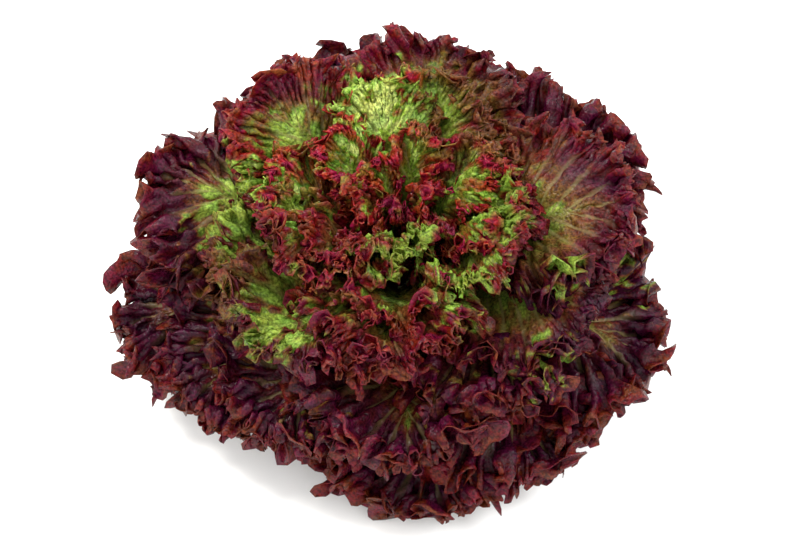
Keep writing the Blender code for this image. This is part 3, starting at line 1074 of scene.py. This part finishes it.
class LETTUCE_OT_heart(Operator):
    """Models the bud with its small leaves and hides its solid"""

    bl_idname = "lettuce.heart"
    bl_label = "Heart"

    def execute(self, context):
        frills = context.scene.lettuce_frills
        sheet = flat_sheet("flat_sheet", HEART_SHEET_COLUMNS)
        nudges = np.random.default_rng(NUDGE_SEED)
        nudges.uniform(-LARGEST_TURN, LARGEST_TURN, HEAD_LEAVES)
        pieces = []
        for number in range(1, HEART_LEAVES + 1):
            age = 1.0 + HEART_AGE_STEP * number
            nudge = nudges.uniform(-LARGEST_TURN, LARGEST_TURN)
            grown = HEAD_LEAVES - 1 + number
            blade = Blade(grown, age, HEART_FRILL_WAVES, HEART_SHEET_COLUMNS, nudge)
            rng = np.random.default_rng(HEART_SEED + number)
            pieces.append(leaf_piece(f"heart_{number}", sheet, blade, frills, HEART_RIB_THICKNESS, rng))
        bpy.data.objects.remove(sheet, do_unlink=True)
        pieces.append(self.bud())
        make_active(pieces[0])
        for piece in pieces:
            piece.select_set(True)
        bpy.ops.object.join()
        heart = bpy.context.object
        heart.name = "heart_leaves"
        heart.data.materials.clear()
        heart.data.materials.append(bpy.data.materials["waxy_lettuce_leaf"])
        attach(heart, "root")
        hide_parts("heart")
        return {"FINISHED"}

    def bud(self):
        """The closed bud: an egg with the edges of wrapped leaves winding up it."""
        bpy.ops.mesh.primitive_uv_sphere_add(segments=BUD_SEGMENTS, ring_count=BUD_RINGS, radius=1.0)
        bud = bpy.context.object
        place = read_places(bud.data)
        turn = np.arctan2(place[:, 1], place[:, 0])
        wrap = 1.0 + WRAP_EDGE * np.abs(np.sin(WRAP_TURNS * turn + WRAP_RISE * place[:, 2]))
        place[:, :2] *= (BUD_RADIUS * wrap)[:, None]
        place[:, 2] = (BUD_BOTTOM + BUD_TOP) / 2.0 + place[:, 2] * (BUD_TOP - BUD_BOTTOM) / 2.0
        bud.data.vertices.foreach_set("co", place.ravel())
        height = (place[:, 2] - BUD_BOTTOM) / (BUD_TOP - BUD_BOTTOM)
        no_green = np.zeros(len(place))
        mark_points(bud.data, turn / (2.0 * math.pi) + 0.5, 0.5 * height, no_green, np.ones(len(place)))
        bpy.ops.object.shade_smooth()
        return bud


class LETTUCE_OT_stem(Operator):
    """Models the cut stem with its leaf scars and hides its solid"""

    bl_idname = "lettuce.stem"
    bl_label = "Stem"

    def execute(self, context):
        bpy.ops.mesh.primitive_cone_add(
            vertices=STEM_SIDES,
            radius1=STEM_FOOT_RADIUS,
            radius2=STEM_TOP_RADIUS,
            depth=STEM_HEIGHT,
            end_fill_type="TRIFAN",
            location=(0.0, 0.0, STEM_HEIGHT / 2.0),
        )
        stem = bpy.context.object
        stem.name = "cut_stem"
        bpy.ops.object.transform_apply(location=True)
        rounded = stem.modifiers.new("edges", "BEVEL")
        rounded.width = CUT_EDGE
        rounded.segments = 3
        bpy.ops.object.modifier_apply(modifier=rounded.name)
        bpy.ops.object.mode_set(mode="EDIT")
        for height in np.linspace(RING_MARGIN, STEM_HEIGHT - RING_MARGIN, STEM_RINGS):
            bpy.ops.mesh.select_all(action="SELECT")
            bpy.ops.mesh.bisect(plane_co=(0.0, 0.0, height), plane_no=(0.0, 0.0, 1.0))
        bpy.ops.object.mode_set(mode="OBJECT")
        place = read_places(stem.data)
        turn = np.arctan2(place[:, 1], place[:, 0])
        scar = 0.5 + 0.5 * np.cos(SCARS_ROUND * turn + SCAR_RISE * place[:, 2])
        side = smooth(place[:, 2], *SCAR_FOOT) * (1.0 - smooth(place[:, 2], *SCAR_TOP))
        place[:, :2] *= (1.0 - SCAR_DEPTH * scar * side)[:, None]
        stem.data.vertices.foreach_set("co", place.ravel())
        bpy.ops.object.shade_smooth_by_angle(angle=STEM_CREASE)
        stem.data.materials.clear()
        stem.data.materials.append(stem_flesh())
        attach(stem, "root")
        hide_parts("stem")
        return {"FINISHED"}


def look_along(direction):
    """Euler angles that turn a lamp's or camera's -Z along the direction, upright."""
    x, y, z = direction
    return (math.atan2(math.hypot(x, y), -z), 0.0, math.atan2(-x, y))


def area_light(name, place, size, power, colour):
    """A large soft lamp, turned to face the head."""
    lamp = bpy.data.lights.new(name, "AREA")
    lamp.shape = "SQUARE"
    lamp.size = size
    lamp.energy = power
    lamp.color = colour
    obj = bpy.data.objects.new(name, lamp)
    bpy.context.scene.collection.objects.link(obj)
    obj.location = place
    obj.rotation_euler = look_along(np.array(LAMPS_AIM) - np.array(place))


class LETTUCE_OT_stage(Operator):
    """Adds the pale floor, the soft lights and the camera"""

    bl_idname = "lettuce.stage"
    bl_label = "Stage"

    def execute(self, context):
        stage = context.scene.lettuce_stage
        bpy.ops.mesh.primitive_plane_add(size=FLOOR_SIZE)
        floor = bpy.context.object
        floor.name = "floor"
        floor.data.materials.append(matt_paint("matt_white_board", stage.floor_colour, FLOOR_ROUGHNESS))
        world = bpy.data.worlds.new("studio")
        context.scene.world = world
        world.use_nodes = True
        surround = world.node_tree.nodes["Background"]
        surround.inputs["Color"].default_value = SURROUND_COLOUR
        surround.inputs["Strength"].default_value = SURROUND_STRENGTH
        area_light("key", KEY_PLACE, KEY_SIZE, stage.key_power, KEY_COLOUR)
        area_light("fill", FILL_PLACE, FILL_SIZE, stage.fill_power, FILL_COLOUR)
        camera_data = bpy.data.cameras.new("camera")
        camera = bpy.data.objects.new("camera", camera_data)
        context.scene.collection.objects.link(camera)
        camera_data.lens = stage.lens
        back = np.array((0.0, -math.cos(stage.elevation), math.sin(stage.elevation)))
        camera.location = np.array(CAMERA_AIM) + stage.distance * back
        camera.rotation_euler = look_along(-back)
        context.scene.camera = camera
        context.scene.view_settings.view_transform = "Standard"
        context.scene.view_settings.look = "None"
        return {"FINISHED"}


class LETTUCE_PT_panel(Panel):
    """Lists the lettuce's pieces and settings"""

    bl_idname = "LETTUCE_PT_panel"
    bl_label = "Lettuce"
    bl_space_type = "VIEW_3D"
    bl_region_type = "UI"
    bl_category = "Lettuce"

    def draw(self, context):
        layout = self.layout
        for settings in (context.scene.lettuce_frills, context.scene.lettuce_stage):
            for key in settings.__annotations__:
                layout.prop(settings, key)
        for kind in OPERATORS:
            layout.operator(kind.bl_idname)


OPERATORS = (LETTUCE_OT_leaves, LETTUCE_OT_heart, LETTUCE_OT_stem, LETTUCE_OT_stage)
CLASSES = (FrillSettings, StageSettings, *OPERATORS, LETTUCE_PT_panel)


def register():
    for kind in CLASSES:
        bpy.utils.register_class(kind)
    bpy.types.Scene.lettuce_frills = PointerProperty(type=FrillSettings)
    bpy.types.Scene.lettuce_stage = PointerProperty(type=StageSettings)


def unregister():
    del bpy.types.Scene.lettuce_stage
    del bpy.types.Scene.lettuce_frills
    for kind in reversed(CLASSES):
        bpy.utils.unregister_class(kind)


def main():
    register()
    deselect_all()
    bpy.ops.lettuce.leaves()
    bpy.ops.lettuce.heart()
    bpy.ops.lettuce.stem()
    bpy.ops.lettuce.stage()


if __name__ == "__main__":
    main()
